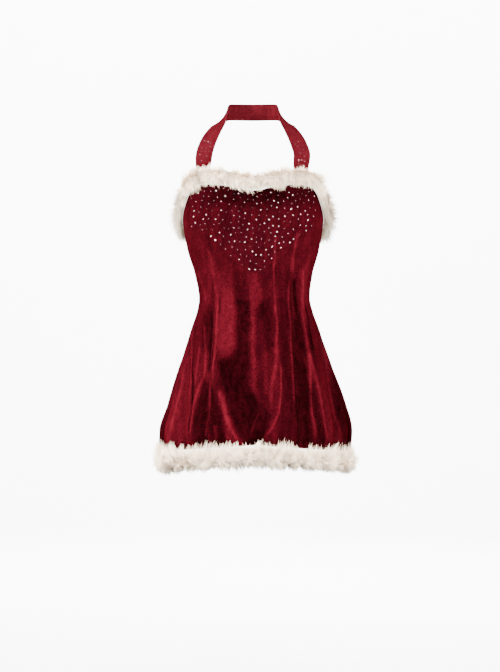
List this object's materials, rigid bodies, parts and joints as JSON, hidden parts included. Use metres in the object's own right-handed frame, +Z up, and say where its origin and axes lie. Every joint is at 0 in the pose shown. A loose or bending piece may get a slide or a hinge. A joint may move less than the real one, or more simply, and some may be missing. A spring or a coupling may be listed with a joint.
{
  "type": "halter mini dress costume",
  "caption": "Crimson velvet halter mini dress with white fur at the neckline and hem and rhinestones on the bust, hollow as worn, with a swinging zip pull",
  "frame": {"origin": "inner face of the halter strap at the nape, on its seam, where the wearer's neck holds the dress", "axes": "+Z up, +X to the wearer's left, and the front faces -Y"},
  "size_m": [0.4236, 0.3551, 0.7905],
  "materials": {
    "velvet": "crushed stretch velvet",
    "strap_velvet": "stretch velvet, bright nap",
    "white_fur": "fluffy pile",
    "red_metal": "satin"
  },
  "bodies": {
    "dress": {"centre_front": "velvet", "side_front_right": "velvet", "side_front_left": "velvet", "side_back_right": "velvet", "side_back_left": "velvet", "centre_back_right": "velvet", "centre_back_left": "velvet", "halter_strap_right": "strap_velvet", "halter_strap_left": "strap_velvet", "neckline_fur": "white_fur", "hem_fur": "white_fur", "zip_slider": "red_metal"},
    "zip_pull": {"zip_pull": "red_metal"}
  },
  "joints": [
    {"name": "zip_pull_swing", "type": "hinge", "parent": "dress", "child": "zip_pull", "pos_m": [0.00043, 0.02463, -0.29868], "axis": [1, 0, 0], "range_deg": [-8, 110]}
  ]
}
